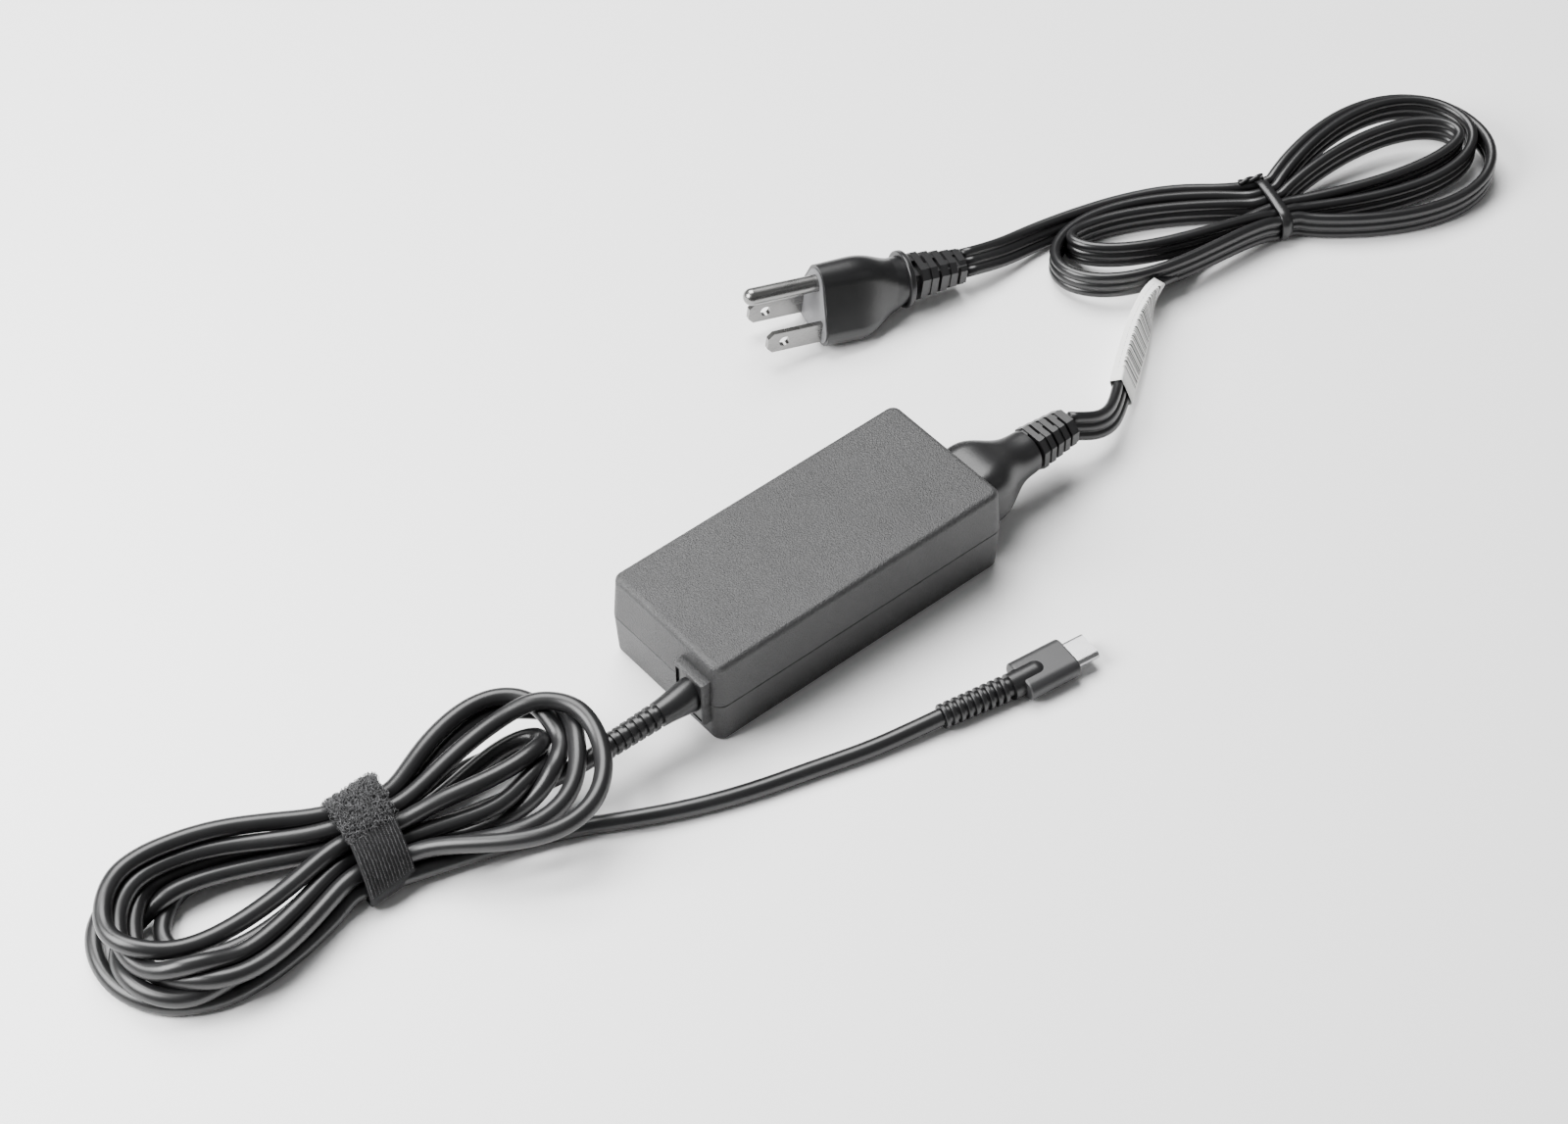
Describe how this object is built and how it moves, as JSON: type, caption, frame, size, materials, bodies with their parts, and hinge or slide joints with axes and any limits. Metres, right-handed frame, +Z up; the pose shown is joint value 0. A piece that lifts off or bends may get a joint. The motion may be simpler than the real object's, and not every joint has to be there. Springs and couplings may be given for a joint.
{
  "type": "laptop power adapter",
  "caption": "Slim two-shell power brick with a bundled round output cord to a USB-C plug and a detachable flat mains lead with a three-pin plug, both cords tied in figure-eight hanks.",
  "frame": {"origin": "on the floor under the middle of the case with its cord collar", "axes": "+Z up; +X along the case towards the mains inlet; -Y the long side the output plug lies on"},
  "size_m": [0.4603, 0.1498, 0.027],
  "materials": {
    "case_plastic": "fine spark texture, satin",
    "label_film": "smooth printed film",
    "cord_jacket": "soft satin",
    "mains_jacket": "satin with a slight sheen",
    "strap_fabric": "woven hook and loop",
    "plug_plastic": "satin",
    "shell_steel": "nickel plated",
    "inner_plastic": "moulded",
    "gold_contacts": "gold plated",
    "circuit_laminate": "solder mask",
    "pin_metal": "nickel-plated brass",
    "wire_sleeve": "insulated wire",
    "ferrite": "sintered",
    "copper_winding": "enamelled copper",
    "pad_rubber": "soft pad",
    "capacitor_sleeve": "shrink sleeve",
    "capacitor_block": "moulded box",
    "chip_epoxy": "moulded epoxy",
    "heatsink_aluminium": "sheet",
    "paper_label": null,
    "tie_plastic": "coated wire tie",
    "face_plastic": "moulded grey insert"
  },
  "bodies": {
    "adapter": {"top_cover": "case_plastic", "bottom_cover": "case_plastic", "rating_label": "label_film", "dc_strain_relief": "cord_jacket", "dc_cord_run": "cord_jacket", "dc_hank": "cord_jacket", "dc_cord_tail": "cord_jacket", "cable_strap": "strap_fabric", "usb_strain_relief": "cord_jacket", "usb_overmould": "plug_plastic", "usb_shell": "shell_steel", "usb_contact_carrier": "inner_plastic", "usb_contacts": "gold_contacts", "usb_board": "circuit_laminate", "ac_inlet_housing": "inner_plastic", "inlet_pins": "pin_metal", "inlet_wires": "wire_sleeve", "output_wires": "wire_sleeve", "circuit_board": "circuit_laminate", "insulating_sheet": "label_film", "transformer_core": "ferrite", "transformer_base": "inner_plastic", "transformer_bobbin": "inner_plastic", "transformer_winding": "copper_winding", "thermal_pad": "pad_rubber", "choke_core": "ferrite", "choke_winding": "copper_winding", "bulk_capacitor": "capacitor_sleeve", "line_capacitor": "capacitor_block", "fuse": "inner_plastic", "bridge_rectifier": "chip_epoxy", "primary_heatsink": "heatsink_aluminium", "power_transistor": "chip_epoxy", "suppression_capacitor": "capacitor_block", "opto_coupler": "chip_epoxy", "output_inductor": "ferrite", "output_capacitors": "capacitor_sleeve", "controller_chips": "chip_epoxy", "heat_spreader": "heatsink_aluminium"},
    "mains_lead": {"connector_body": "cord_jacket", "connector_insert": "inner_plastic", "connector_contacts": "pin_metal", "mains_cord_run": "mains_jacket", "mains_hank": "mains_jacket", "mains_cord_tail": "mains_jacket", "cord_label": "paper_label", "twist_tie": "tie_plastic", "plug_body": "mains_jacket", "plug_face": "face_plastic", "plug_blades": "pin_metal", "plug_earth_pin": "pin_metal"}
  },
  "joints": [
    {"name": "mains_connector_pull", "type": "slide", "parent": "adapter", "child": "mains_lead", "axis": [1, 0, 0], "range_m": [0, 0.02]}
  ]
}
